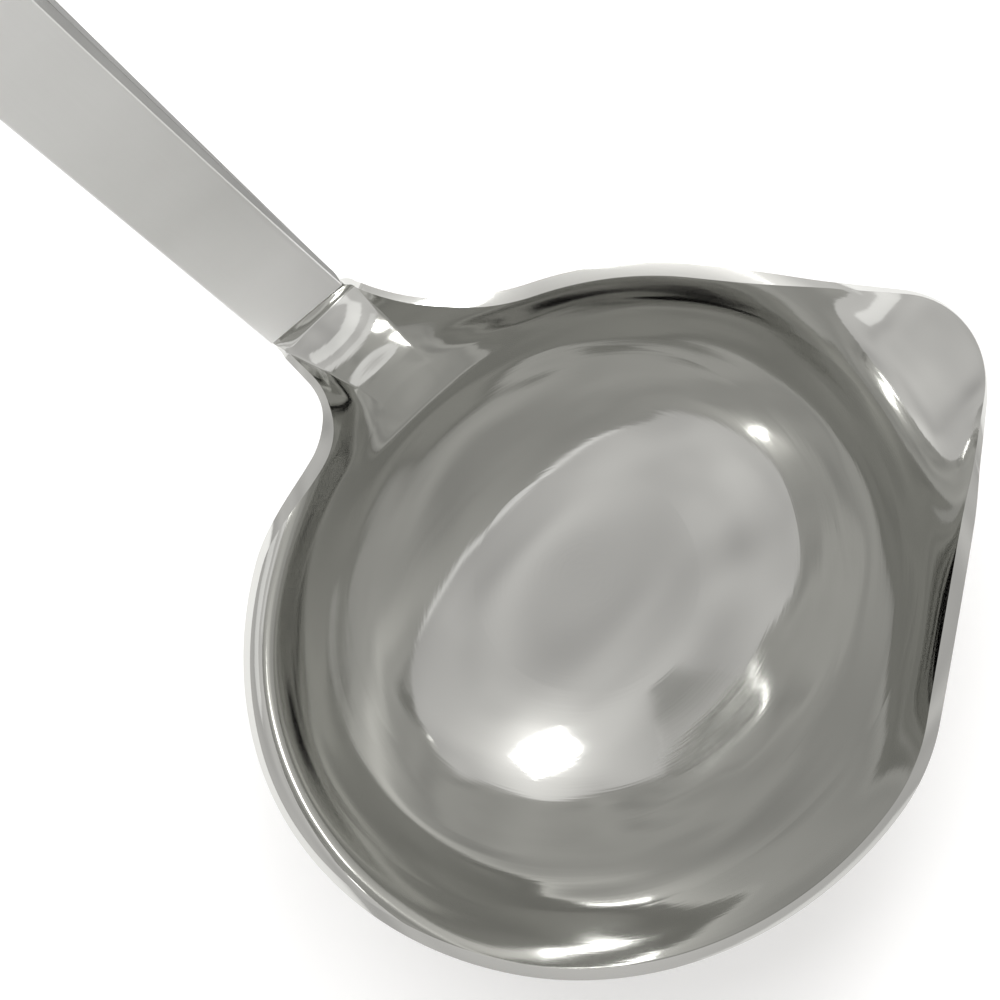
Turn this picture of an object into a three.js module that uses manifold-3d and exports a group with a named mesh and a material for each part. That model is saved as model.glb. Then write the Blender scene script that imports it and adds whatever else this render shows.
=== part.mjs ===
// Gravy ladle with a side spout: a drawn bowl on a hollow handle made of two pressed shells.
// Millimetres, +Z up, rim level. The origin is the centre of the bowl's flat base.
// The handle rises towards -X and the spout points towards +Y.
import * as THREE from 'three';
import { mergeVertices } from 'three/addons/utils/BufferGeometryUtils.js';
import Module from 'manifold-3d';

// Bowl, drawn from one sheet
const SHEET = 1.5;
const RIM_HALF_LENGTH = 38;
const OVAL = 0.92;
const BOWL_HEIGHT = 30.4;
const BASE_RADIUS = 6.2;
const SHORT_FULLNESS = 1.6;
const LONG_FULLNESS = 2.07;
const LIP_LEAN = 1.2;
const LEAN_POWER = 4;
const LIP_FLARE = 1.5;
const FLARE_POWER = 12;
const FLARE_START = 196;
const FLARE_FULL = 213;
const FLARE_FADE = 243;
const FLARE_END = 300;

// Spout and neck, both drawn outwards from the top of the wall
const DRAW_DEPTH = 13;
const SPOUT_ROLL = 3;
const SHOULDER_ROLL = 8;
const SHOULDER_SHARE = 0.25;
const SPOUT_DIRECTION = 83;
const FLANK_ANGLE = 46;
const FLANK_INSET = 2.2;
const FLANK_BLEND_RADIUS = 20;
const SPOUT_TIP_RADIUS = 10.7;
const SPOUT_DROP = 2;
const NECK_REACH = 46.8;
const NECK_HALF_WIDTH = 4.5;
const NECK_HOLLOW = 1.6;
const NECK_PLAIN_FILLET = 7.5;
const NECK_SPOUT_FILLET = 26;
const NECK_SPOUT_TURN = 28;
const BEND_RADIUS = 4;
const NECK_STRAIGHT = 0.6;

// Hollow handle
const HANDLE_SLOPE = 56;
const HANDLE_TWIST = 5;
const HANDLE_LENGTH = 150;
const SHELL = 0.7;
const MOUTH_HALF_WIDTH = 4.6;
const END_HALF_WIDTH = 6.4;
const WIDENING = 3;
const END_FRONT_HEIGHT = 4;
const END_BACK_HEIGHT = 5;
const SWELL_LENGTH = 105;
const SIDE_FLARE = 5;
const FACE_CORNER = 0.3;
const BACK_FULLNESS = 4;
const END_ROUNDING = 8;
const END_FULLNESS = 2.4;
const END_LAND = 0.01;

// Joint at the mouth and the hanging hole
const GAP = 0.3;
const TONGUE_THICKNESS = 0.8;
const TONGUE_LENGTH = 14;
const WELD_LENGTH = 0.8;
const WELD_WALL = 0.25;
const HANG_RADIUS = 3.6;
const HANG_WALL = 0.6;
const HANG_SETBACK = 11;

// Mesh fineness
const ROWS_BELOW_DRAW = 8;
const ROWS_IN_DRAW = 9;
const ARC_STEP = 4.5;

const rad = THREE.MathUtils.degToRad;
const smooth = (value) => THREE.MathUtils.smoothstep(value, 0, 1);
const polar = (radius, angle) => new THREE.Vector2(radius * Math.cos(angle), radius * Math.sin(angle));

const midRadius = RIM_HALF_LENGTH - SHEET / 2;
const midBase = SHEET / 2;
const midHeight = BOWL_HEIGHT - midBase;
const drawLeft = DRAW_DEPTH / midHeight;

// Solids

const wasm = await Module();
wasm.setup();

function toSolid(geometry) {
  const plain = geometry.clone();
  plain.deleteAttribute('normal');
  plain.deleteAttribute('uv');
  const merged = mergeVertices(plain);
  return new wasm.Manifold(new wasm.Mesh({
    numProp: 3,
    vertProperties: new Float32Array(merged.attributes.position.array),
    triVerts: new Uint32Array(merged.index.array),
  }));
}

function meshGeometry(points, triangles) {
  const geometry = new THREE.BufferGeometry();
  geometry.setAttribute('position', new THREE.Float32BufferAttribute(points.flatMap((p) => p.toArray()), 3));
  geometry.setIndex(triangles.flat());
  return geometry;
}

function toMesh(name, solid, colour, roughness) {
  const result = solid.getMesh();
  const geometry = new THREE.BufferGeometry();
  geometry.setAttribute('position', new THREE.BufferAttribute(new Float32Array(result.vertProperties), 3));
  geometry.setIndex(Array.from(result.triVerts));
  geometry.computeVertexNormals();
  const material = new THREE.MeshStandardMaterial({ color: colour, roughness, metalness: 1 });
  const mesh = new THREE.Mesh(geometry, material);
  mesh.name = name;
  return mesh;
}

// A sheet of even thickness about an open middle surface, with its free edges closed square.
function thicken(points, triangles, thickness) {
  const normals = points.map(() => new THREE.Vector3());
  const edges = new Map();
  for (const [a, b, c] of triangles) {
    const normal = points[b].clone().sub(points[a]).cross(points[c].clone().sub(points[a]));
    for (const [from, to] of [[a, b], [b, c], [c, a]]) {
      normals[from].add(normal);
      edges.set(`${from} ${to}`, [from, to]);
    }
  }
  const side = (sign) => points.map((p, i) => (
    p.clone().addScaledVector(normals[i].clone().normalize(), sign * thickness / 2)
  ));
  const count = points.length;
  const closed = triangles.flatMap(([a, b, c]) => [[a, b, c], [count + c, count + b, count + a]]);
  for (const [from, to] of edges.values()) {
    if (!edges.has(`${to} ${from}`)) {
      closed.push([to, from, count + from], [to, count + from, count + to]);
    }
  }
  return meshGeometry([...side(1), ...side(-1)], closed);
}

// A closed body through a row of matching outlines, each a ring of points.
function loft(rings) {
  const size = rings[0].length;
  const points = rings.flat();
  const triangles = [];
  for (let i = 0; i + 1 < rings.length; i += 1) {
    for (let j = 0; j < size; j += 1) {
      const next = (j + 1) % size;
      const [a, b] = [i * size + j, i * size + next];
      triangles.push([a, b, b + size], [a, b + size, a + size]);
    }
  }
  const last = points.length - size;
  for (let j = 1; j + 1 < size; j += 1) {
    triangles.push([0, j + 1, j], [last, last + j, last + j + 1]);
  }
  return meshGeometry(points, triangles);
}

// Bowl: the lip's plan outline, as stretches that run anticlockwise, drawn round and made oval later

// How far out the sheet is drawn at each part of its rise: late and all at once to the spout, evenly with a
// late shoulder to the neck.
const spoutRoll = (rise) => rise ** SPOUT_ROLL;
const neckRoll = (rise) => THREE.MathUtils.lerp(rise, rise ** SHOULDER_ROLL, SHOULDER_SHARE);

// A stretch of lip, with how the sheet rolls out to it and how far it lies below the rim.
function stretch(path, fromAngle, toAngle, roll, drop) {
  const count = Math.max(6, Math.round(THREE.MathUtils.radToDeg(toAngle - fromAngle) / ARC_STEP));
  return path.getSpacedPoints(count).slice(0, -1).map((lip, i) => ({
    angle: THREE.MathUtils.lerp(fromAngle, toAngle, i / count),
    lip: new THREE.Vector3(lip.x, lip.y, BOWL_HEIGHT - drop(i / count, lip)),
    roll,
  }));
}

const spoutAxis = rad(SPOUT_DIRECTION);
const flankTurn = Math.PI / 2 - rad(FLANK_ANGLE);
const farNormal = spoutAxis - flankTurn;
const nearNormal = spoutAxis + flankTurn;
const farDistance = midRadius - FLANK_INSET;

// The tip's arc touches both flank lines: one is tangent to the rim, the other lies a little inside it.
const tipFar = farDistance - SPOUT_TIP_RADIUS;
const tipNear = midRadius - SPOUT_TIP_RADIUS;
const tipCentre = new THREE.Vector2(
  (tipFar * Math.sin(nearNormal) - tipNear * Math.sin(farNormal)) / Math.sin(nearNormal - farNormal),
  (tipNear * Math.cos(farNormal) - tipFar * Math.cos(nearNormal)) / Math.sin(nearNormal - farNormal),
);
const spoutReach = tipCentre.dot(polar(1, spoutAxis)) + SPOUT_TIP_RADIUS;
const blendOffset = midRadius - FLANK_BLEND_RADIUS;
const blendAngle = farNormal - Math.acos((farDistance - FLANK_BLEND_RADIUS) / blendOffset);
const blendCentre = polar(blendOffset, blendAngle);

const spoutFillet = polar(midRadius + NECK_SPOUT_FILLET, Math.PI - rad(NECK_SPOUT_TURN));
const spoutFilletEnd = -Math.acos((-NECK_REACH - spoutFillet.x) / NECK_SPOUT_FILLET);
const plainFilletY = -NECK_HALF_WIDTH - NECK_PLAIN_FILLET;
const plainTurn = Math.asin(-plainFilletY / (midRadius + NECK_PLAIN_FILLET));
const plainFillet = polar(midRadius + NECK_PLAIN_FILLET, Math.PI + plainTurn);

const rimPath = new THREE.Path();
rimPath.absarc(0, 0, midRadius, Math.PI + plainTurn, 2 * Math.PI + blendAngle, false);
const spoutPath = new THREE.Path();
spoutPath.absarc(blendCentre.x, blendCentre.y, FLANK_BLEND_RADIUS, blendAngle, farNormal, false);
spoutPath.absarc(tipCentre.x, tipCentre.y, SPOUT_TIP_RADIUS, farNormal, nearNormal, false);
spoutPath.lineTo(...polar(midRadius, nearNormal));
const shortRimPath = new THREE.Path();
shortRimPath.absarc(0, 0, midRadius, nearNormal, Math.PI - rad(NECK_SPOUT_TURN), false);
const neckSpoutSide = new THREE.Path();
neckSpoutSide.absarc(
  spoutFillet.x, spoutFillet.y, NECK_SPOUT_FILLET, -rad(NECK_SPOUT_TURN), spoutFilletEnd, true,
);
const neckEnd = new THREE.Path();
neckEnd.moveTo(-NECK_REACH, spoutFillet.y + NECK_SPOUT_FILLET * Math.sin(spoutFilletEnd));
neckEnd.lineTo(-NECK_REACH, -NECK_HALF_WIDTH);
const neckPlainSide = new THREE.Path();
neckPlainSide.moveTo(-NECK_REACH, -NECK_HALF_WIDTH);
neckPlainSide.absarc(plainFillet.x, plainFillet.y, NECK_PLAIN_FILLET, Math.PI / 2, plainTurn, true);

const level = () => 0;
const spoutDrop = (part, lip) => SPOUT_DROP * smooth((lip.length() - midRadius) / (spoutReach - midRadius));
const hollowing = (part) => NECK_HOLLOW * 4 * part * (1 - part);
const neckRuns = [[neckSpoutSide, level], [neckEnd, hollowing], [neckPlainSide, level]];
const neckLength = neckRuns.reduce((sum, [path]) => sum + path.getLength(), 0);

const lipPoints = [
  ...stretch(rimPath, Math.PI + plainTurn, 2 * Math.PI + blendAngle, spoutRoll, level),
  ...stretch(spoutPath, 2 * Math.PI + blendAngle, 2 * Math.PI + nearNormal, spoutRoll, spoutDrop),
  ...stretch(shortRimPath, 2 * Math.PI + nearNormal, 3 * Math.PI - rad(NECK_SPOUT_TURN), spoutRoll, level),
];
let neckAngle = 3 * Math.PI - rad(NECK_SPOUT_TURN);
const neckSpan = rad(NECK_SPOUT_TURN) + plainTurn;
let neckEndFirst = 0;
let neckEndLast = 0;
for (const [path, drop] of neckRuns) {
  const nextAngle = neckAngle + neckSpan * path.getLength() / neckLength;
  const part = stretch(path, neckAngle, nextAngle, neckRoll, drop);
  if (path === neckEnd) {
    neckEndFirst = lipPoints.length;
    neckEndLast = neckEndFirst + part.length;
  }
  lipPoints.push(...part);
  neckAngle = nextAngle;
}

// Bowl: the sheet's middle surface, one section of the wall for each point of the lip

// The wall rises from the flat base, rounder along the handle than along the spout. In its top part it
// leans out and rolls out to the spout and the neck. On the plain side the lip is flared a little more.
function wallPoint({ angle, lip, roll }, row) {
  const fullness = THREE.MathUtils.lerp(SHORT_FULLNESS, LONG_FULLNESS, Math.sin(angle) ** 2);
  const rise = Math.max(0, row - ROWS_BELOW_DRAW) / ROWS_IN_DRAW;
  const turn = Math.acos(drawLeft ** (fullness / 2)) * Math.min(1, row / ROWS_BELOW_DRAW);
  const left = rise > 0 ? drawLeft * (1 - rise) : Math.cos(turn) ** (2 / fullness);
  const out = (1 - left ** fullness) ** (1 / fullness);
  const flareIn = (angle - rad(FLARE_START)) / rad(FLARE_FULL - FLARE_START);
  const flareOut = (rad(FLARE_END) - angle) / rad(FLARE_END - FLARE_FADE);
  const flare = LIP_FLARE * smooth(flareIn) * smooth(flareOut);
  const lean = LIP_LEAN * rise ** LEAN_POWER + flare * rise ** FLARE_POWER;
  const foot = polar(BASE_RADIUS + (midRadius - LIP_LEAN - BASE_RADIUS) * out + lean, angle);
  const rim = polar(midRadius, angle);
  const drawn = roll(rise);
  return new THREE.Vector3(
    OVAL * (foot.x + (lip.x - rim.x) * drawn),
    foot.y + (lip.y - rim.y) * drawn,
    midBase + midHeight * (1 - left) + (lip.z - BOWL_HEIGHT) * drawn,
  );
}

// The neck leaves the lip at the slope that the rolled wall has there, then bends up to the handle's slope.
const shoulderRun = (NECK_REACH - midRadius) * THREE.MathUtils.lerp(1, SHOULDER_ROLL, SHOULDER_SHARE);
const neckSlope = Math.atan(DRAW_DEPTH / (OVAL * (shoulderRun + LIP_LEAN * LEAN_POWER)));
const handleSlope = rad(HANDLE_SLOPE);
const bendRun = BEND_RADIUS * (Math.sin(handleSlope) - Math.sin(neckSlope));
const bendRise = BEND_RADIUS * (Math.cos(neckSlope) - Math.cos(handleSlope));
const mouthAlong = NECK_STRAIGHT + WELD_LENGTH + 2 * GAP;
const mouth = new THREE.Vector3(
  -OVAL * NECK_REACH - bendRun - mouthAlong * Math.cos(handleSlope),
  0,
  BOWL_HEIGHT + bendRise + mouthAlong * Math.sin(handleSlope),
);

const handle = new THREE.Group();
handle.name = 'handle';
handle.position.copy(mouth);
handle.rotation.set(0, handleSlope, Math.PI);
handle.rotateX(-rad(HANDLE_TWIST));
handle.updateMatrix();

function bowlSolid() {
  const points = [new THREE.Vector3(0, 0, midBase)];
  const grid = [];
  for (let row = 0; row <= ROWS_BELOW_DRAW + ROWS_IN_DRAW; row += 1) {
    grid.push(lipPoints.map((section) => points.push(wallPoint(section, row)) - 1));
  }
  const triangles = [];
  const quad = (a, b, c, d) => triangles.push([a, b, c], [a, c, d]);
  lipPoints.forEach((_, j) => {
    const next = (j + 1) % lipPoints.length;
    triangles.push([0, grid[0][j], grid[0][next]]);
    for (let row = 0; row + 1 < grid.length; row += 1) {
      quad(grid[row][j], grid[row + 1][j], grid[row + 1][next], grid[row][next]);
    }
  });

  // Neck strip: rows round the bend, then the straight end, turning level with the mouth
  const endCount = neckEndLast - neckEndFirst;
  let edge = grid.at(-1).slice(neckEndFirst, neckEndLast + 1);
  const bendRows = 6;
  for (let row = 1; row <= bendRows + 1; row += 1) {
    const slope = THREE.MathUtils.lerp(neckSlope, handleSlope, Math.min(1, row / bendRows));
    const straight = row > bendRows ? NECK_STRAIGHT : 0;
    const run = BEND_RADIUS * (Math.sin(slope) - Math.sin(neckSlope)) + straight * Math.cos(slope);
    const rise = BEND_RADIUS * (Math.cos(neckSlope) - Math.cos(slope)) + straight * Math.sin(slope);
    const part = smooth(row / (bendRows + 1));
    const twist = rad(HANDLE_TWIST) * part;
    const nextEdge = edge.map((_, j) => {
      const start = points[grid.at(-1)[neckEndFirst + j]];
      const across = THREE.MathUtils.lerp(MOUTH_HALF_WIDTH, -MOUTH_HALF_WIDTH, j / endCount);
      const y = THREE.MathUtils.lerp(start.y, across, part);
      const lift = y * Math.sin(twist);
      return points.push(new THREE.Vector3(
        start.x - run + lift * Math.sin(slope),
        y * Math.cos(twist),
        THREE.MathUtils.lerp(start.z, BOWL_HEIGHT, part) + rise + lift * Math.cos(slope),
      )) - 1;
    });
    for (let j = 0; j < endCount; j += 1) {
      quad(edge[j], nextEdge[j], nextEdge[j + 1], edge[j + 1]);
    }
    edge = nextEdge;
  }

  // Thinned tongue that goes into the handle
  const tongueWidth = 2 * (MOUTH_HALF_WIDTH - SHELL - GAP);
  const tongueStart = -mouthAlong;
  const tongue = new THREE.BoxGeometry(TONGUE_LENGTH - tongueStart, tongueWidth, TONGUE_THICKNESS);
  tongue.translate((TONGUE_LENGTH + tongueStart) / 2, 0, 0);
  tongue.applyMatrix4(handle.matrix);
  return toSolid(thicken(points, triangles, SHEET)).add(toSolid(tongue));
}

// Handle: sections across the hollow body, in the handle's own frame with X along it from the mouth

const mouthHeight = TONGUE_THICKNESS / 2 + GAP + SHELL;

// How much of the full section is left where the end rounds off, to a narrow land at the very end.
function endFactor(along, inset) {
  const into = (along - (HANDLE_LENGTH - inset - END_ROUNDING)) / (END_ROUNDING + END_LAND);
  return (1 - Math.max(0, into) ** END_FULLNESS) ** (1 / END_FULLNESS);
}

function handleSizes(along) {
  const swell = Math.sin(Math.PI / 2 * THREE.MathUtils.clamp(along / SWELL_LENGTH, 0, 1));
  const widening = Math.max(0, along / HANDLE_LENGTH) ** WIDENING;
  return {
    halfWidth: THREE.MathUtils.lerp(MOUTH_HALF_WIDTH, END_HALF_WIDTH, widening),
    front: THREE.MathUtils.lerp(mouthHeight, END_FRONT_HEIGHT, swell),
    back: THREE.MathUtils.lerp(mouthHeight, END_BACK_HEIGHT, swell),
  };
}

// One section: a flat face with softened corners, flared sides down to the seam and a rounded back.
function handleRing(along, inset) {
  const sizes = handleSizes(along);
  const end = endFactor(along, inset);
  const half = (sizes.halfWidth - inset) * end;
  const front = sizes.front - inset;
  const back = sizes.back - inset;
  const corner = Math.min(FACE_CORNER, half / 2);
  const seam = half + (front - corner) * Math.tan(rad(SIDE_FLARE));
  const ring = [];
  const backSteps = 16;
  for (let i = 0; i <= backSteps; i += 1) {
    const turn = Math.PI * (1 + i / backSteps);
    const power = 2 / BACK_FULLNESS;
    const y = Math.sign(Math.cos(turn)) * seam * Math.abs(Math.cos(turn)) ** power;
    ring.push([y, -back * Math.abs(Math.sin(turn)) ** power]);
  }
  const cornerSteps = 3;
  for (const side of [1, -1]) {
    for (let i = 0; i <= cornerSteps; i += 1) {
      const turn = Math.PI / 2 * (side > 0 ? i : cornerSteps - i) / cornerSteps;
      ring.push([
        side * (half - corner + corner * Math.cos(turn)),
        front - corner + corner * Math.sin(turn),
      ]);
    }
  }
  return ring.map(([y, z]) => new THREE.Vector3(along, y, z));
}

function handleBody(start, inset) {
  const stop = HANDLE_LENGTH - inset;
  const stations = [start];
  for (let along = 0; along < stop - END_ROUNDING; along += 7.5) {
    stations.push(along);
  }
  const endSteps = 7;
  for (let i = 0; i <= endSteps; i += 1) {
    stations.push(stop - END_ROUNDING * (1 - Math.sin(Math.PI / 2 * i / endSteps)));
  }
  return toSolid(loft([...new Set(stations)].map((along) => handleRing(along, inset))));
}

const hangAlong = HANDLE_LENGTH - HANG_SETBACK;
const reach = 4 * HANDLE_LENGTH;

function handleShells() {
  const hole = new THREE.CylinderGeometry(HANG_RADIUS + GAP, HANG_RADIUS + GAP, reach, 32);
  hole.rotateX(Math.PI / 2);
  hole.translate(hangAlong, 0, 0);
  const hollow = handleBody(0, 0).subtract(handleBody(-1, SHELL)).subtract(toSolid(hole));
  const half = (side) => {
    const space = new THREE.BoxGeometry(reach, reach, reach);
    space.translate(0, 0, side * (reach + GAP) / 2);
    return hollow.intersect(toSolid(space));
  };
  return { front: half(1), back: half(-1) };
}

// A bead round the tongue that tapers from the mouth's section towards the thinner neck
function weldSolid() {
  const beadStart = -GAP - WELD_LENGTH;
  const thin = (TONGUE_THICKNESS / 2 + GAP + WELD_WALL) / mouthHeight;
  const rings = [0, 0.25, 0.5, 0.75, 1].map((part) => {
    const along = beadStart + WELD_LENGTH * part;
    const thickness = THREE.MathUtils.lerp(thin, 1, smooth(part));
    return handleRing(0, 0).map((p) => new THREE.Vector3(along, p.y, p.z * thickness));
  });
  const slot = new THREE.BoxGeometry(
    4 * WELD_LENGTH, 2 * (MOUTH_HALF_WIDTH - SHELL), TONGUE_THICKNESS + 2 * GAP,
  );
  slot.translate(beadStart, 0, 0);
  return toSolid(loft(rings)).subtract(toSolid(slot));
}

function hangTubeSolid() {
  const sizes = handleSizes(hangAlong);
  const bore = HANG_RADIUS - HANG_WALL;
  const profile = [
    new THREE.Vector2(bore, -sizes.back),
    new THREE.Vector2(HANG_RADIUS, -sizes.back),
    new THREE.Vector2(HANG_RADIUS, sizes.front),
    new THREE.Vector2(bore, sizes.front),
    new THREE.Vector2(bore, -sizes.back),
  ];
  const tube = new THREE.LatheGeometry(profile, 32);
  tube.rotateX(Math.PI / 2);
  tube.translate(hangAlong, 0, 0);
  return toSolid(tube);
}

// Assembly

const shells = handleShells();
handle.add(
  toMesh('handle_front_shell', shells.front, 0xb6b6b2, 0.2),
  toMesh('handle_back_shell', shells.back, 0xaeaeaa, 0.2),
  toMesh('mouth_weld', weldSolid(), 0xc2c2be, 0.25),
  toMesh('hang_tube', hangTubeSolid(), 0xb0b0ac, 0.22),
);

const ladle = new THREE.Group();
ladle.name = 'gravy_ladle';
ladle.add(toMesh('bowl', bowlSolid(), 0xa9a8a3, 0.12), handle);

export default ladle;
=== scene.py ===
import math

import bpy
from mathutils import Matrix, Vector


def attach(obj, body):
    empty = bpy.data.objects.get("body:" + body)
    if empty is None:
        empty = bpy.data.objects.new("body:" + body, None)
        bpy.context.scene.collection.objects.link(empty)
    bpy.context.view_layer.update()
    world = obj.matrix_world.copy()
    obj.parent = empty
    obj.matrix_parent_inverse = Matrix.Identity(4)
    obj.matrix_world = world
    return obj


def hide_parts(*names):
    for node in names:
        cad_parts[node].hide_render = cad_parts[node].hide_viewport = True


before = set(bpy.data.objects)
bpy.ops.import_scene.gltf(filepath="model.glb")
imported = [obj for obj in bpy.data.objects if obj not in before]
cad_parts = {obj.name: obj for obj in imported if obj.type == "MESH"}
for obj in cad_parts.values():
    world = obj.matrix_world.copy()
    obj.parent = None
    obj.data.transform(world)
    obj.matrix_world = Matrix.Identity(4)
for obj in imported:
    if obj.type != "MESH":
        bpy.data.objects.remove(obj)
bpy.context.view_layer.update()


# Bowl
# One stainless sheet drawn into an oval cup with a small flat base. The side spout and the neck that carries
# the handle are drawn out of the same sheet. It is buffed to a mirror all over, with a softened cut edge.
MM = 0.001
SHEET = 1.5 * MM
RIM_HALF_LENGTH = 38 * MM
OVAL = 0.92
BOWL_HEIGHT = 30.4 * MM
BASE_RADIUS = 6.2 * MM
ARC_STEP = math.radians(0.5)

mid_radius = RIM_HALF_LENGTH - SHEET / 2
mid_base = SHEET / 2
mid_height = BOWL_HEIGHT - mid_base
bowl_axis = Vector((0, 0))


def smooth(value):
    """A smooth step from 0 to 1 while the value goes from 0 to 1."""
    value = min(1, max(0, value))
    return value * value * (3 - 2 * value)


def polar(radius, angle):
    """A place seen from above, from its distance and its direction."""
    return Vector((radius * math.cos(angle), radius * math.sin(angle)))


def arc(centre, radius, start, end):
    """Points along an arc seen from above."""
    steps = max(2, round(abs(end - start) / ARC_STEP))
    return [centre + polar(radius, start + (end - start) * i / steps) for i in range(steps + 1)]


def lengths_along(points):
    """How far along a run each of its points lies."""
    along = [0]
    for before, after in zip(points, points[1:]):
        along.append(along[-1] + (after - before).length)
    return along


def spaced(points, count):
    """Points at even steps along a run."""
    along = lengths_along(points)
    found = []
    step = 0
    for i in range(count + 1):
        wanted = along[-1] * i / count
        while step + 2 < len(points) and along[step + 1] < wanted:
            step += 1
        part = (wanted - along[step]) / (along[step + 1] - along[step])
        found.append(points[step].lerp(points[step + 1], part))
    return found


# Seen from above, the spout has two straight flanks and a round tip. The flank on the handle's side leaves
# the rim at a tangent, and the far flank lies a little further in and is blended into the rim.
SPOUT_DIRECTION = math.radians(83)
FLANK_TURN = math.radians(44)
FLANK_INSET = 2.2 * MM
FLANK_BLEND_RADIUS = 20 * MM
SPOUT_TIP_RADIUS = 10.8 * MM
SPOUT_DROP = 2 * MM
SPOUT_ROLL = 3

far_normal = SPOUT_DIRECTION - FLANK_TURN
near_normal = SPOUT_DIRECTION + FLANK_TURN
far_distance = mid_radius - FLANK_INSET
tip_far = far_distance - SPOUT_TIP_RADIUS
tip_near = mid_radius - SPOUT_TIP_RADIUS
tip_centre = Vector((
    tip_far * math.sin(near_normal) - tip_near * math.sin(far_normal),
    tip_near * math.cos(far_normal) - tip_far * math.cos(near_normal),
)) / math.sin(near_normal - far_normal)
spout_reach = tip_centre.dot(polar(1, SPOUT_DIRECTION)) + SPOUT_TIP_RADIUS
blend_offset = mid_radius - FLANK_BLEND_RADIUS
blend_angle = far_normal - math.acos((far_distance - FLANK_BLEND_RADIUS) / blend_offset)
spout_run = (
    arc(polar(blend_offset, blend_angle), FLANK_BLEND_RADIUS, blend_angle, far_normal)
    + arc(tip_centre, SPOUT_TIP_RADIUS, far_normal, near_normal)
    + [polar(mid_radius, near_normal)]
)

# The neck runs out of the rim by a wide fillet on the spout's side and by a tight one on the plain side.
NECK_REACH = 46.8 * MM
NECK_HALF_WIDTH = 4.5 * MM
NECK_HOLLOW = 1.6 * MM
NECK_PLAIN_FILLET = 7.5 * MM
NECK_SPOUT_FILLET = 26 * MM
NECK_SPOUT_TURN = math.radians(28)
SHOULDER_ROLL = 8
SHOULDER_SHARE = 0.25

spout_fillet = polar(mid_radius + NECK_SPOUT_FILLET, math.pi - NECK_SPOUT_TURN)
spout_fillet_end = -math.acos((-NECK_REACH - spout_fillet.x) / NECK_SPOUT_FILLET)
spout_side = arc(spout_fillet, NECK_SPOUT_FILLET, -NECK_SPOUT_TURN, spout_fillet_end)
plain_turn = math.asin((NECK_HALF_WIDTH + NECK_PLAIN_FILLET) / (mid_radius + NECK_PLAIN_FILLET))
plain_fillet = polar(mid_radius + NECK_PLAIN_FILLET, math.pi + plain_turn)
neck_corner = Vector((-NECK_REACH, -NECK_HALF_WIDTH))
plain_side = [neck_corner] + arc(plain_fillet, NECK_PLAIN_FILLET, math.pi / 2, plain_turn)


def spout_roll(rise):
    """The share of the spout's reach that the wall has at a part of the drawn depth."""
    return rise ** SPOUT_ROLL


def neck_roll(rise):
    """The same for the neck: mostly straight out, with a shoulder under the lip."""
    return rise + (rise ** SHOULDER_ROLL - rise) * SHOULDER_SHARE


def no_drop(part, place):
    """The lip stays level."""
    return 0


def spout_drop(part, place):
    """The lip falls towards the spout's tip."""
    return SPOUT_DROP * smooth((place.length - mid_radius) / (spout_reach - mid_radius))


def hollow(part, place):
    """The neck is hollow across, deepest in its middle."""
    return NECK_HOLLOW * 4 * part * (1 - part)


# The lip goes once round the bowl. Each of its columns has an angle on the rim, the edge's place and a roll.
PLAIN_COLUMNS = 180
SPOUT_COLUMNS = 150
BETWEEN_COLUMNS = 26
NECK_SPOUT_COLUMNS = 44
NECK_COLUMNS = 28
NECK_PLAIN_COLUMNS = 36

lip = []


def add_lip(points, from_angle, to_angle, count, drop, roll):
    """Adds a stretch of the lip."""
    for i, place in enumerate(spaced(points, count)[:-1]):
        angle = from_angle + (to_angle - from_angle) * i / count
        lip.append((angle, Vector((place.x, place.y, BOWL_HEIGHT - drop(i / count, place))), roll))


plain_start = math.pi + plain_turn
spout_start = 2 * math.pi + blend_angle
spout_end = 2 * math.pi + near_normal
neck_start = 3 * math.pi - NECK_SPOUT_TURN
plain_run = arc(bowl_axis, mid_radius, plain_start, spout_start)
between_run = arc(bowl_axis, mid_radius, near_normal, math.pi - NECK_SPOUT_TURN)
add_lip(plain_run, plain_start, spout_start, PLAIN_COLUMNS, no_drop, spout_roll)
add_lip(spout_run, spout_start, spout_end, SPOUT_COLUMNS, spout_drop, spout_roll)
add_lip(between_run, spout_end, neck_start, BETWEEN_COLUMNS, no_drop, spout_roll)
neck_first = len(lip) + NECK_SPOUT_COLUMNS
neck_runs = [
    (spout_side, NECK_SPOUT_COLUMNS, no_drop),
    ([spout_side[-1], neck_corner], NECK_COLUMNS, hollow),
    (plain_side, NECK_PLAIN_COLUMNS, no_drop),
]
neck_length = sum(lengths_along(run)[-1] for run, _, _ in neck_runs)
neck_angle = neck_start
for run, count, drop in neck_runs:
    next_angle = neck_angle + (NECK_SPOUT_TURN + plain_turn) * lengths_along(run)[-1] / neck_length
    add_lip(run, neck_angle, next_angle, count, drop, neck_roll)
    neck_angle = next_angle

# The wall has a rounded profile, fuller along the oval than across it. Over the drawn depth below the lip it
# also leans out, with a flare on the plain side beside the neck.
SHORT_FULLNESS = 1.6
LONG_FULLNESS = 2.07
DRAW_DEPTH = 13 * MM
LIP_LEAN = 1.2 * MM
LEAN_POWER = 4
LIP_FLARE = 1.5 * MM
FLARE_POWER = 12
FLARE_START = math.radians(196)
FLARE_FULL = math.radians(213)
FLARE_FADE = math.radians(243)
FLARE_END = math.radians(300)
FLAT_ROWS = 6
LOW_ROWS = 26
DRAW_ROWS = 36

draw_left = DRAW_DEPTH / mid_height


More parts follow.
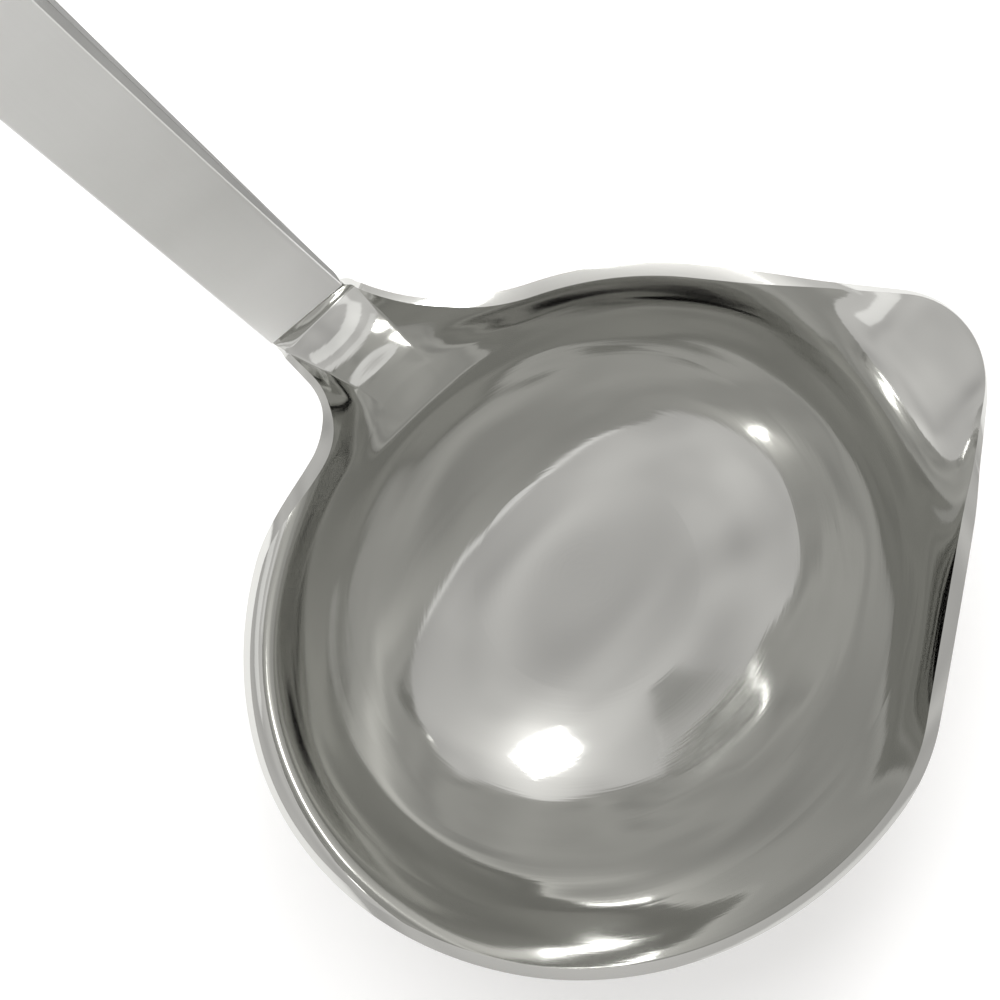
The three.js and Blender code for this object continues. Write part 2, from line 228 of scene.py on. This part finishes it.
def wall_point(column, row):
    """The middle of the sheet at a column of the lip and a row up from the middle of the base."""
    angle, edge, roll = lip[column % len(lip)]
    if row < FLAT_ROWS:
        flat = polar(BASE_RADIUS * row / FLAT_ROWS, angle)
        return Vector((flat.x * OVAL, flat.y, mid_base))
    row -= FLAT_ROWS
    fullness = SHORT_FULLNESS + (LONG_FULLNESS - SHORT_FULLNESS) * math.sin(angle) ** 2
    rise = 0
    if row < LOW_ROWS:
        left = math.cos(math.acos(draw_left ** (fullness / 2)) * row / LOW_ROWS) ** (2 / fullness)
    else:
        rise = (row - LOW_ROWS) / DRAW_ROWS
        left = draw_left * (1 - rise)
    out = (1 - left ** fullness) ** (1 / fullness)
    flare_in = (angle - FLARE_START) / (FLARE_FULL - FLARE_START)
    flare_out = (FLARE_END - angle) / (FLARE_END - FLARE_FADE)
    flare = LIP_FLARE * smooth(flare_in) * smooth(flare_out)
    lean = LIP_LEAN * rise ** LEAN_POWER + flare * rise ** FLARE_POWER
    foot = polar(BASE_RADIUS + (mid_radius - LIP_LEAN - BASE_RADIUS) * out + lean, angle)
    rim = polar(mid_radius, angle)
    drawn = roll(rise)
    return Vector((
        OVAL * (foot.x + (edge.x - rim.x) * drawn),
        foot.y + (edge.y - rim.y) * drawn,
        mid_base + mid_height * (1 - left) + (edge.z - BOWL_HEIGHT) * drawn,
    ))


# The neck strip bends up from the lip to the slope of the handle, and turns a little about its own length.
BEND_RADIUS = 4 * MM
NECK_STRAIGHT = 0.6 * MM
HANDLE_SLOPE = math.radians(56)
HANDLE_TWIST = math.radians(5)
MOUTH_HALF_WIDTH = 4.6 * MM
BEND_ROWS = 24
STRAIGHT_ROWS = 2

neck_rows = BEND_ROWS + STRAIGHT_ROWS
shoulder_run = (NECK_REACH - mid_radius) * (1 + (SHOULDER_ROLL - 1) * SHOULDER_SHARE)
neck_slope = math.atan(DRAW_DEPTH / (OVAL * (shoulder_run + LIP_LEAN * LEAN_POWER)))


def neck_point(column, row):
    """The middle of the sheet at a column across the neck and a row up from the lip."""
    start = lip[neck_first + column][1]
    slope = neck_slope + (HANDLE_SLOPE - neck_slope) * min(1, row / BEND_ROWS)
    straight = NECK_STRAIGHT * max(0, row - BEND_ROWS) / STRAIGHT_ROWS
    run = BEND_RADIUS * (math.sin(slope) - math.sin(neck_slope)) + straight * math.cos(slope)
    rise = BEND_RADIUS * (math.cos(neck_slope) - math.cos(slope)) + straight * math.sin(slope)
    part = smooth(row / neck_rows)
    across = MOUTH_HALF_WIDTH * (1 - 2 * column / NECK_COLUMNS)
    y = start.y + (across - start.y) * part
    twist = HANDLE_TWIST * part
    lift = y * math.sin(twist)
    return Vector((
        OVAL * start.x - run + lift * math.sin(slope),
        y * math.cos(twist),
        BOWL_HEIGHT + (start.z - BOWL_HEIGHT) * (1 - part) + rise + lift * math.cos(slope),
    ))


def shaped_grid(name, columns, rows, place):
    """A grid whose vertices go to the place of their column and row."""
    bpy.ops.object.select_all(action="DESELECT")
    bpy.ops.mesh.primitive_grid_add(x_subdivisions=columns, y_subdivisions=rows, size=2)
    piece = bpy.context.object
    piece.name = name
    for vertex in piece.data.vertices:
        column = round((vertex.co.x + 1) / 2 * columns)
        row = round((vertex.co.y + 1) / 2 * rows)
        vertex.co = place(column, row)
    return piece


MERGE_DISTANCE = 0.002 * MM


def join_edges(pieces):
    """Joins meshes into one and merges the edges and poles where they meet."""
    bpy.ops.object.select_all(action="DESELECT")
    for piece in pieces:
        piece.select_set(True)
    bpy.context.view_layer.objects.active = pieces[0]
    bpy.ops.object.join()
    bpy.ops.object.mode_set(mode="EDIT")
    bpy.ops.mesh.select_all(action="SELECT")
    bpy.ops.mesh.remove_doubles(threshold=MERGE_DISTANCE)
    bpy.ops.mesh.normals_make_consistent(inside=False)
    bpy.ops.object.mode_set(mode="OBJECT")
    return pieces[0]


def worked(piece, kind, **settings):
    """Adds a modifier to a piece and applies it."""
    bpy.context.view_layer.objects.active = piece
    modifier = piece.modifiers.new(kind.lower(), kind)
    for name, value in settings.items():
        setattr(modifier, name, value)
    bpy.ops.object.modifier_apply(modifier=modifier.name)


# A tongue at the end of the neck goes through the weld into the handle's mouth.
GAP = 0.3 * MM
SHELL = 0.7 * MM
WELD_LENGTH = 0.8 * MM
TONGUE_LENGTH = 14 * MM
TONGUE_THICKNESS = 0.8 * MM

weld_room = WELD_LENGTH + 2 * GAP
along_handle = Vector((-math.cos(HANDLE_SLOPE), 0, math.sin(HANDLE_SLOPE)))
square_to_face = Vector((math.sin(HANDLE_SLOPE), 0, math.cos(HANDLE_SLOPE)))
spoutward = Vector((0, 1, 0))
face_up = math.cos(HANDLE_TWIST) * square_to_face - math.sin(HANDLE_TWIST) * spoutward
face_across = math.cos(HANDLE_TWIST) * spoutward + math.sin(HANDLE_TWIST) * square_to_face
neck_end = (neck_point(0, neck_rows) + neck_point(NECK_COLUMNS, neck_rows)) / 2
mouth = neck_end + weld_room * along_handle
# The minus sign keeps the turn right-handed, so that it turns no shape inside out.
handle_turn = Matrix((along_handle, -face_across, face_up)).transposed().to_4x4()


def in_handle(along, across, height):
    """A place given from the middle of the handle's mouth."""
    return mouth + along * along_handle + across * face_across + height * face_up


def add_tongue(piece):
    """Joins the tongue to the neck."""
    start = -weld_room - SHEET / 2
    bpy.ops.object.select_all(action="DESELECT")
    bpy.ops.mesh.primitive_cube_add(size=1)
    tongue = bpy.context.object
    size = (TONGUE_LENGTH - start, 2 * (MOUTH_HALF_WIDTH - SHELL - GAP), TONGUE_THICKNESS)
    tongue.data.transform(Matrix.Diagonal(size + (1,)))
    place = Matrix.Translation(in_handle((TONGUE_LENGTH + start) / 2, 0, 0))
    tongue.data.transform(place @ handle_turn)
    worked(piece, "BOOLEAN", operation="UNION", object=tongue, solver="EXACT")
    bpy.data.objects.remove(tongue)


POLISH = 0.05 * MM


def polished(piece, sharp):
    """Takes the polishing allowance off a piece, and shades it smooth up to the angle that stays sharp."""
    bpy.ops.object.select_all(action="DESELECT")
    piece.select_set(True)
    bpy.context.view_layer.objects.active = piece
    bpy.ops.object.mode_set(mode="EDIT")
    bpy.ops.mesh.select_all(action="SELECT")
    bpy.ops.mesh.normals_make_consistent(inside=False)
    bpy.ops.transform.shrink_fatten(value=-POLISH)
    bpy.ops.object.mode_set(mode="OBJECT")
    bpy.ops.object.shade_smooth_by_angle(angle=sharp)


# The sheet gets thinner where it is drawn out past the rim, and the wall runs smoothly into the base.
THINNING = 0.4
THINNING_REACH = 3 * MM
FLOOR_BLEND = 9 * MM
FLOOR_EASING = 0.5
FLOOR_PASSES = 50
EDGE_SOFTENING = 0.42 * MM
EDGE_SEGMENTS = 4
SHARP_EDGE = math.radians(50)

cup = shaped_grid("drawn_bowl", len(lip), FLAT_ROWS + LOW_ROWS + DRAW_ROWS, wall_point)
neck = shaped_grid("neck_strip", NECK_COLUMNS, neck_rows, neck_point)
bowl = join_edges([cup, neck])
thickness_left = bowl.vertex_groups.new(name="thickness_left")
near_floor = bowl.vertex_groups.new(name="near_floor")
for vertex in bowl.data.vertices:
    radius = math.hypot(vertex.co.x / OVAL, vertex.co.y)
    beyond = smooth((radius - mid_radius) / THINNING_REACH)
    thickness_left.add([vertex.index], 1 - THINNING * beyond, "REPLACE")
    near_floor.add([vertex.index], smooth(2 - radius / FLOOR_BLEND), "REPLACE")
worked(bowl, "SMOOTH", factor=FLOOR_EASING, iterations=FLOOR_PASSES, vertex_group="near_floor")
worked(bowl, "SOLIDIFY", thickness=SHEET, offset=0, use_even_offset=True, vertex_group="thickness_left")
bowl.vertex_groups.clear()
worked(
    bowl, "BEVEL",
    width=EDGE_SOFTENING, segments=EDGE_SEGMENTS, limit_method="ANGLE", angle_limit=SHARP_EDGE,
)
add_tongue(bowl)
polished(bowl, SHARP_EDGE)


class Wire:
    """A socket in a node tree, which sums and other nodes can be built on."""

    def __init__(self, tree, socket=None):
        self.tree = tree
        self.socket = socket

    def node(self, kind, settings=None, inputs=None, output=0):
        made = self.tree.nodes.new(kind)
        for name, value in (settings or {}).items():
            setattr(made, name, value)
        for name, value in (inputs or {}).items():
            if isinstance(value, Wire):
                self.tree.links.new(value.socket, made.inputs[name])
            else:
                made.inputs[name].default_value = value
        return Wire(self.tree, made.outputs[output])

    def maths(self, operation, first, second):
        return self.node("ShaderNodeMath", {"operation": operation}, {0: first, 1: second})

    def __add__(self, other):
        return self.maths("ADD", self, other)

    __radd__ = __add__

    def __sub__(self, other):
        return self.maths("SUBTRACT", self, other)

    def __rsub__(self, other):
        return self.maths("SUBTRACT", other, self)

    def __mul__(self, other):
        return self.maths("MULTIPLY", self, other)

    __rmul__ = __mul__

    def __truediv__(self, other):
        return self.maths("DIVIDE", self, other)

    def __rtruediv__(self, other):
        return self.maths("DIVIDE", other, self)


# The buffing lines and the slow waves of the drawing run round the bowl. The waves fade towards its floor
# and its lip.
LEAST_RADIUS = 0.1 * MM
LINES_AROUND = 2
LINE_SPACING = 0.35 * MM
LINE_DEPTH = 0.003 * MM
WAVES_AROUND = 1.3
WAVE_SPACING = 11 * MM
WAVE_INNER_RADIUS = 12 * MM
WAVE_FADE_IN = 14 * MM
WAVE_TOP = 28 * MM
WAVE_FADE_OUT = 10 * MM
WAVE_LEFT_AT_TOP = 0.3
PRESS_WAVES_PER_METRE = 32
CLOUDS_PER_METRE = 70


def coordinate(place, axis):
    """One coordinate of a place."""
    return place.node("ShaderNodeSeparateXYZ", inputs={"Vector": place}, output=axis)


def from_axis(place):
    """The distance from the bowl's axis, kept off zero because it divides."""
    flat = place.node("ShaderNodeVectorMath", {"operation": "MULTIPLY"}, {0: place, 1: (1, 1, 0)})
    length = place.node("ShaderNodeVectorMath", {"operation": "LENGTH"}, {0: flat}, output="Value")
    return place.maths("MAXIMUM", length, LEAST_RADIUS)


def round_axis(place, around, spacing):
    """Places for a pattern that runs round the bowl's axis and changes over the spacing up the wall."""
    radius = from_axis(place)
    return place.node("ShaderNodeCombineXYZ", inputs={
        "X": around * coordinate(place, "X") / radius,
        "Y": around * coordinate(place, "Y") / radius,
        "Z": (coordinate(place, "Z") + radius) / spacing,
    })


def lines_round(place):
    """Buffing lines round the bowl."""
    return round_axis(place, LINES_AROUND, LINE_SPACING)


def waves_round(place):
    """Slow waves round the bowl's wall, left by the drawing."""
    off_floor = (from_axis(place) - WAVE_INNER_RADIUS) / WAVE_FADE_IN
    below_lip = WAVE_LEFT_AT_TOP + (WAVE_TOP - coordinate(place, "Z")) / WAVE_FADE_OUT
    waves = place.node("ShaderNodeTexNoise", inputs={
        "Vector": round_axis(place, WAVES_AROUND, WAVE_SPACING), "Scale": 1, "Detail": 1,
    })
    for fade in (off_floor, below_lip):
        waves = waves * place.node("ShaderNodeClamp", inputs={"Value": fade})
    return waves


def waves_plain(place):
    """Slow uneven waves left by the press."""
    return place.node("ShaderNodeTexNoise", inputs={
        "Vector": place, "Scale": PRESS_WAVES_PER_METRE, "Detail": 1,
    })


def clouds(place):
    """Soft uneven patches."""
    return place.node("ShaderNodeTexNoise", inputs={
        "Vector": place, "Scale": CLOUDS_PER_METRE, "Detail": 4,
    })


def buffed_steel(
    name, dark, light, gloss, haze, waves, lines_along,
    lighter=clouds, bent=waves_plain, spread=0, sheen=1,
):
    """Polished steel with the press's slight waves, a buffing haze and fine lines along the buffing."""
    material = bpy.data.materials.new(name)
    material.use_nodes = True
    wire = Wire(material.node_tree)
    shader = material.node_tree.nodes["Principled BSDF"]
    place = wire.node("ShaderNodeTexCoord", output="Object")
    lines = wire.node("ShaderNodeTexNoise", inputs={"Vector": lines_along(place), "Scale": 1, "Detail": 2})
    rough = gloss + haze * clouds(place) + haze * lines
    shade = wire.node(
        "ShaderNodeMix", {"data_type": "RGBA"},
        {"Factor": lighter(place), "A": dark + (1,), "B": light + (1,)}, output="Result",
    )
    wavy = wire.node("ShaderNodeBump", inputs={"Height": bent(place), "Strength": 1, "Distance": waves})
    lined = wire.node("ShaderNodeBump", inputs={
        "Height": lines, "Normal": wavy, "Strength": 1, "Distance": LINE_DEPTH,
    })
    material.node_tree.links.new(rough.socket, shader.inputs["Roughness"])
    material.node_tree.links.new(shade.socket, shader.inputs["Base Color"])
    material.node_tree.links.new(lined.socket, shader.inputs["Normal"])
    shader.inputs["Metallic"].default_value = 1
    shader.inputs["Anisotropic"].default_value = spread
    shader.inputs["Specular Tint"].default_value = (sheen, sheen, sheen, 1)
    return material


mirror = buffed_steel(
    "mirror_steel", dark=(0.585, 0.588, 0.568), light=(0.642, 0.643, 0.622),
    gloss=0.02, haze=0.06, waves=0.5 * MM, lines_along=lines_round, bent=waves_round, spread=0.5,
)
bowl.data.materials.append(mirror)
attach(bowl, "root")
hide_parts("bowl")


# Mouth weld
# The bead of steel filler that closes the handle's mouth round the neck's tongue and joins handle and bowl.
# It is run in with the tongue in place, then ground flush and polished.
WELD_WALL = 0.3 * MM
BEAD_ROWS = 6
WELD_SHARP_EDGE = math.radians(40)
HANDLE_LENGTH = 150 * MM
END_HALF_WIDTH = 6.4 * MM
WIDENING = 3
END_FRONT_HEIGHT = 4 * MM
END_BACK_HEIGHT = 5 * MM
SWELL_LENGTH = 105 * MM
SIDE_FLARE = math.tan(math.radians(5))
FACE_CORNER = 0.3 * MM
BACK_FULLNESS = 4
BACK_BULGE = 0.5 * MM
BULGE_DEPTH = 1.2 * MM
END_ROUNDING = 8 * MM
END_FULLNESS = 2.4
SIDE_STEPS = 8
CORNER_STEPS = 6
FACE_STEPS = 8
BACK_STEPS = 96

mouth_height = TONGUE_THICKNESS / 2 + GAP + SHELL


def handle_sizes(along):
    """The handle's half width at the face and at the seam, and its heights before and behind the seam."""
    swell = math.sin(math.pi / 2 * min(1, max(0, along / SWELL_LENGTH)))
    into = max(0, 1 - (HANDLE_LENGTH - along) / END_ROUNDING)
    width_left = (1 - min(1, into) ** END_FULLNESS) ** (1 / END_FULLNESS)
    widening = max(0, along / HANDLE_LENGTH) ** WIDENING
    half = (MOUTH_HALF_WIDTH + (END_HALF_WIDTH - MOUTH_HALF_WIDTH) * widening) * width_left
    front = mouth_height + (END_FRONT_HEIGHT - mouth_height) * swell
    back = mouth_height + (END_BACK_HEIGHT - mouth_height) * swell
    flare = SIDE_FLARE * (front - FACE_CORNER) * width_left
    return half, half + flare, front, back


def front_section(along):
    """The outside of the handle from seam to seam over its face."""
    half, seam, front, _ = handle_sizes(along)
    corner = min(FACE_CORNER, half / 2)
    half_run = []
    for i in range(SIDE_STEPS):
        part = i / SIDE_STEPS
        half_run.append((seam + (half - seam) * part, (front - corner) * part))
    for i in range(CORNER_STEPS + 1):
        turn = math.pi / 2 * i / CORNER_STEPS
        half_run.append((
            half - corner + corner * math.cos(turn),
            front - corner + corner * math.sin(turn),
        ))
    for i in range(1, FACE_STEPS + 1):
        half_run.append(((half - corner) * (1 - i / FACE_STEPS), front))
    return half_run + [(-across, height) for across, height in reversed(half_run[:-1])]


def back_section(along):
    """The outside of the handle from seam to seam over its back, which swells a little past the seam."""
    _, seam, _, back = handle_sizes(along)
    fully_swollen = (back - mouth_height) / (END_BACK_HEIGHT - mouth_height)
    bulge = BACK_BULGE * fully_swollen * min(1, seam / END_HALF_WIDTH)
    run = []
    for i in range(BACK_STEPS + 1):
        turn = math.pi * i / BACK_STEPS
        depth = back * math.sin(turn) ** (2 / BACK_FULLNESS)
        widest = seam + bulge * smooth(depth / BULGE_DEPTH)
        across = widest * abs(math.cos(turn)) ** (2 / BACK_FULLNESS)
        run.append((math.copysign(across, math.cos(turn)), -depth))
    return run


bead_ring = front_section(0) + back_section(0)[::-1]


def bead_point(column, row):
    """The bead's outside, which goes over from the thin neck to the handle's mouth."""
    part = row / BEAD_ROWS
    across, height = bead_ring[column % len(bead_ring)]
    thin = SHEET * (1 - THINNING) / 2 / mouth_height
    height *= thin + (1 - thin) * smooth(part)
    return in_handle(-weld_room * (1 - part), across, height)


weld = join_edges([shaped_grid("mouth_bead", len(bead_ring), BEAD_ROWS, bead_point)])
worked(weld, "SOLIDIFY", thickness=WELD_WALL, offset=-1)
polished(weld, WELD_SHARP_EDGE)

HANDLE_LINE_WIDTH = 0.3 * MM
CROSS_LINE_LENGTH = 4 * MM


def handle_lines(place, along, across):
    """Places for a pattern of fine lines that is turned as the handle is."""
    return place.node(
        "ShaderNodeMapping", {"vector_type": "TEXTURE"},
        {"Vector": place, "Rotation": (0, HANDLE_SLOPE, 0), "Scale": (along, across, HANDLE_LINE_WIDTH)},
    )


def lines_across(place):
    """Grinding lines across the handle."""
    return handle_lines(place, HANDLE_LINE_WIDTH, CROSS_LINE_LENGTH)


ground = buffed_steel(
    "ground_steel", dark=(0.58, 0.58, 0.56), light=(0.68, 0.68, 0.66),
    gloss=0.1, haze=0.08, waves=0.02 * MM, lines_along=lines_across,
)
weld.data.materials.append(ground)
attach(weld, "root")
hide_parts("mouth_weld")


# Front shell
# The upper half of the hollow handle, pressed from thin stainless sheet, with a flat face and flared sides.
# It is welded to the back shell along the seam. Its face is polished lengthwise. A painted highlight
# lightens the face's colour towards the mouth, and the flanks get painted shade, a darker copy of the steel.
LONG_STATIONS = 60
END_STATIONS = 14
SHELL_SHARP_EDGE = math.radians(35)
HANG_RADIUS = 3.6 * MM
HANG_SETBACK = 11 * MM
HANG_SIDES = 96
DRILL_LENGTH = 60 * MM

straight_length = HANDLE_LENGTH - END_ROUNDING
stations = [straight_length * i / LONG_STATIONS for i in range(LONG_STATIONS + 1)]
for i in range(1, END_STATIONS + 1):
    stations.append(HANDLE_LENGTH - END_ROUNDING * (1 - math.sin(math.pi / 2 * i / END_STATIONS)))
hang_place = Matrix.Translation(in_handle(HANDLE_LENGTH - HANG_SETBACK, 0, 0)) @ handle_turn


def hang_hole(piece):
    """Drills the hanging hole through a shell."""
    bpy.ops.object.select_all(action="DESELECT")
    bpy.ops.mesh.primitive_cylinder_add(vertices=HANG_SIDES, radius=HANG_RADIUS, depth=DRILL_LENGTH)
    drill = bpy.context.object
    drill.data.transform(hang_place)
    worked(piece, "BOOLEAN", operation="DIFFERENCE", object=drill, solver="EXACT")
    bpy.data.objects.remove(drill)


def pressed_shell(name, section):
    """A shell of the handle whose outside follows the section at every station."""
    def shell_point(column, row):
        across, height = section(stations[row])[column]
        return in_handle(stations[row], across, height)

    shell = join_edges([shaped_grid(name, len(section(0)) - 1, len(stations) - 1, shell_point)])
    worked(shell, "SOLIDIFY", thickness=SHELL, offset=-1, use_even_offset=True)
    hang_hole(shell)
    polished(shell, SHELL_SHARP_EDGE)
    return shell


front_shell = pressed_shell("handle_face", front_section)

LONG_LINE_LENGTH = 30 * MM
PAINTED_HIGHLIGHT_LENGTH = 32 * MM
CLOUD_SHARE = 0.2
FACE_TILT = 0.5


def lines_lengthwise(place):
    """Polishing lines along the handle."""
    return handle_lines(place, LONG_LINE_LENGTH, HANDLE_LINE_WIDTH)


def painted_highlight_near_mouth(place):
    """Patches that get lighter towards the mouth: a painted highlight in the steel's colour."""
    along = place.node(
        "ShaderNodeVectorMath", {"operation": "DOT_PRODUCT"}, {0: place, 1: along_handle}, output="Value",
    )
    nearness = 1 - (along - mouth.dot(along_handle)) / PAINTED_HIGHLIGHT_LENGTH
    bright = place.node("ShaderNodeClamp", inputs={"Value": nearness})
    return CLOUD_SHARE * clouds(place) + (1 - CLOUD_SHARE) * bright


# The face's light colour, which is mixed in towards the mouth, is a painted highlight.
satin_painted_highlight = buffed_steel(
    "face_steel_painted_highlight", dark=(0.575, 0.577, 0.563), light=(0.95, 0.95, 0.945),
    gloss=0.44, haze=0.06, waves=0.05 * MM, lines_along=lines_lengthwise, lighter=painted_highlight_near_mouth,
)
front_shell.data.materials.append(satin_painted_highlight)
# The flanks' darker colour and weak grazing tint are painted shade. They go on every polygon that leans away
# from the face's way up.
flank_painted_shade = buffed_steel(
    "flank_steel_painted_shade", dark=(0.5, 0.5, 0.486), light=(0.6, 0.6, 0.585),
    gloss=0.3, haze=0.08, waves=0.05 * MM, lines_along=lines_lengthwise, sheen=0.2,
)
front_shell.data.materials.append(flank_painted_shade)
for polygon in front_shell.data.polygons:
    if polygon.normal.dot(face_up) < FACE_TILT:
        polygon.material_index = 1
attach(front_shell, "root")
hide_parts("handle_front_shell")


# Back shell
# The lower half of the hollow handle, pressed from the same thin sheet, with a full rounded back.
# It is welded to the front shell along the seam and polished lengthwise.
back_shell = pressed_shell("handle_back", back_section)
brushed = buffed_steel(
    "back_steel", dark=(0.58, 0.58, 0.566), light=(0.66, 0.66, 0.645),
    gloss=0.2, haze=0.08, waves=0.05 * MM, lines_along=lines_lengthwise, sheen=0.3,
)
back_shell.data.materials.append(brushed)
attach(back_shell, "root")
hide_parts("handle_back_shell")


# Hanging tube
# A short length of drawn stainless tube through both shells, which lines the hanging hole.
# It is welded in at both ends and ground flush with the shells.
HANG_WALL = 0.6 * MM
TUBE_EDGE = 0.15 * MM
TUBE_EDGE_SEGMENTS = 3
TUBE_SHARP_EDGE = math.radians(40)

_, _, tube_top, tube_foot = handle_sizes(HANDLE_LENGTH - HANG_SETBACK)
bpy.ops.object.select_all(action="DESELECT")
bpy.ops.mesh.primitive_cylinder_add(
    vertices=HANG_SIDES, radius=HANG_RADIUS, depth=tube_top + tube_foot, end_fill_type="NOTHING",
)
tube = bpy.context.object
tube.name = "hang_lining"
tube.data.transform(Matrix.Translation((0, 0, (tube_top - tube_foot) / 2)))
tube.data.transform(hang_place)
worked(tube, "SOLIDIFY", thickness=HANG_WALL, offset=-1)
worked(
    tube, "BEVEL",
    width=TUBE_EDGE, segments=TUBE_EDGE_SEGMENTS, limit_method="ANGLE", angle_limit=SHARP_EDGE,
)
polished(tube, TUBE_SHARP_EDGE)
drawn_steel = buffed_steel(
    "tube_steel", dark=(0.58, 0.58, 0.566), light=(0.66, 0.66, 0.645),
    gloss=0.14, haze=0.08, waves=0.02 * MM, lines_along=lines_across,
)
tube.data.materials.append(drawn_steel)
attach(tube, "root")
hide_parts("hang_tube")


# Floor
# A plain pale sheet of paper under the ladle, which isn't part of it.
# It glows a little, so that it comes out nearly white.
FLOOR_SIZE = 6
PAPER_COLOUR = (0.93, 0.93, 0.93, 1)
PAPER_ROUGHNESS = 0.9
PAPER_GLOW_COLOUR = (1, 1, 1, 1)
PAPER_GLOW = 0.15

bpy.ops.object.select_all(action="DESELECT")
bpy.ops.mesh.primitive_plane_add(size=FLOOR_SIZE, location=(0, 0, 0))
floor = bpy.context.object
floor.name = "floor"
paper = bpy.data.materials.new("pale_paper")
paper.use_nodes = True
paper_shader = paper.node_tree.nodes["Principled BSDF"]
paper_shader.inputs["Base Color"].default_value = PAPER_COLOUR
paper_shader.inputs["Roughness"].default_value = PAPER_ROUGHNESS
paper_shader.inputs["Emission Color"].default_value = PAPER_GLOW_COLOUR
paper_shader.inputs["Emission Strength"].default_value = PAPER_GLOW
floor.data.materials.append(paper)


# Light
# A pale surround with soft uneven patches, lighter round a soft box that stands between spout and handle.
# Two low panels stand past the bowl, and a key light that the steel doesn't mirror lights the floor.
SURROUND_COLOUR = (1, 0.985, 0.97, 1)
SURROUND_BRIGHTNESS = 0.66
PATCH_SEED = 11
PATCH_SCALE = 1.6
PATCH_LEAST = 0.35
PATCH_RANGE = 1.3
PANEL_DISTANCE = 1
PANEL_WATTS = 4

world = bpy.data.worlds.new("studio")
world.use_nodes = True
bpy.context.scene.world = world
bpy.context.scene.view_settings.view_transform = "Standard"
sky = Wire(world.node_tree).node("ShaderNodeTexCoord", output="Generated")
rim_centre = Vector((0, 0, BOWL_HEIGHT))


def direction(azimuth, elevation):
    """The way from the bowl to a light, from two angles in degrees."""
    flat = polar(math.cos(math.radians(elevation)), math.radians(azimuth))
    return Vector((flat.x, flat.y, math.sin(math.radians(elevation))))


def lobe(azimuth, elevation, sharpness, brightness):
    """A soft round change of the surround's brightness."""
    facing = sky.node(
        "ShaderNodeVectorMath", {"operation": "DOT_PRODUCT"},
        {0: sky, 1: direction(azimuth, elevation)}, output="Value",
    )
    fade = sky.node("ShaderNodeMath", {"operation": "EXPONENT"}, {0: sharpness * (facing - 1)})
    return brightness * fade


by_soft_box = lobe(azimuth=130, elevation=44, sharpness=18, brightness=0.75)
past_plain_side = lobe(azimuth=262, elevation=50, sharpness=3, brightness=0.08)
over_spout = lobe(azimuth=85, elevation=74, sharpness=9, brightness=-0.08)
patches = sky.node("ShaderNodeTexNoise", {"noise_dimensions": "4D"}, {
    "Vector": sky, "W": PATCH_SEED, "Scale": PATCH_SCALE, "Detail": 1,
})
surround = SURROUND_BRIGHTNESS + by_soft_box + past_plain_side + over_spout
surround = surround * (PATCH_LEAST + PATCH_RANGE * patches)
background = world.node_tree.nodes["Background"]
background.inputs["Color"].default_value = SURROUND_COLOUR
world.node_tree.links.new(surround.socket, background.inputs["Strength"])


def panel(name, azimuth, elevation, width, height, brightness, roll=0):
    """A flat light that faces the middle of the rim."""
    away = direction(azimuth, elevation)
    light = bpy.data.lights.new(name, "AREA")
    light.shape = "RECTANGLE"
    light.size = width
    light.size_y = height
    light.energy = PANEL_WATTS * width * height * brightness
    lamp = bpy.data.objects.new(name, light)
    facing = away.to_track_quat("Z", "Y").to_matrix().to_4x4()
    rolled = Matrix.Rotation(math.radians(roll), 4, "Z")
    lamp.matrix_world = Matrix.Translation(rim_centre + PANEL_DISTANCE * away) @ facing @ rolled
    bpy.context.scene.collection.objects.link(lamp)
    return lamp


key = panel("key", azimuth=165, elevation=51, width=0.7, height=0.7, brightness=3)
key.visible_glossy = False
panel("soft_box", azimuth=130, elevation=41, width=0.3, height=0.3, brightness=6, roll=35)
panel("backdrop", azimuth=0, elevation=26, width=1.6, height=0.25, brightness=0.3)
panel("horizon", azimuth=0, elevation=7, width=1.2, height=0.1, brightness=0.15)


# Camera
# It looks almost straight down into the bowl, from a little towards the handle and the spout.
# It is rolled as the photograph is, and the middle of the rim comes out at the photograph's pixel.
TILT = math.radians(12)
SWING = math.radians(9)
ROLL = math.radians(144.37)
DISTANCE = 500 * MM
PIXELS_PER_METRE = 9.998 / MM
FRAME_HALF = 500
RIM_CENTRE_X = 619
RIM_CENTRE_Y = 625.2
SENSOR_WIDTH = 36
NEAREST = 10 * MM

towards = Vector((-math.sin(TILT) * math.cos(SWING), math.sin(TILT) * math.sin(SWING), math.cos(TILT)))
sidelong = Vector((-math.sin(SWING), -math.cos(SWING), 0))
upright = towards.cross(sidelong)
across = math.cos(ROLL) * sidelong + math.sin(ROLL) * upright
above = math.cos(ROLL) * upright - math.sin(ROLL) * sidelong
shift_across = (FRAME_HALF - RIM_CENTRE_X) / PIXELS_PER_METRE
shift_up = (RIM_CENTRE_Y - FRAME_HALF) / PIXELS_PER_METRE
aim = rim_centre + shift_across * across + shift_up * above
station = rim_centre + DISTANCE * towards
backward = (station - aim).normalized()
sideways = (across - across.dot(backward) * backward).normalized()
camera_data = bpy.data.cameras.new("camera")
camera_data.sensor_width = SENSOR_WIDTH
camera_data.lens = PIXELS_PER_METRE * DISTANCE * SENSOR_WIDTH / (2 * FRAME_HALF)
camera_data.clip_start = NEAREST
camera = bpy.data.objects.new("camera", camera_data)
turn = Matrix((sideways, backward.cross(sideways), backward)).transposed().to_4x4()
camera.matrix_world = Matrix.Translation(station) @ turn
bpy.context.scene.collection.objects.link(camera)
bpy.context.scene.camera = camera
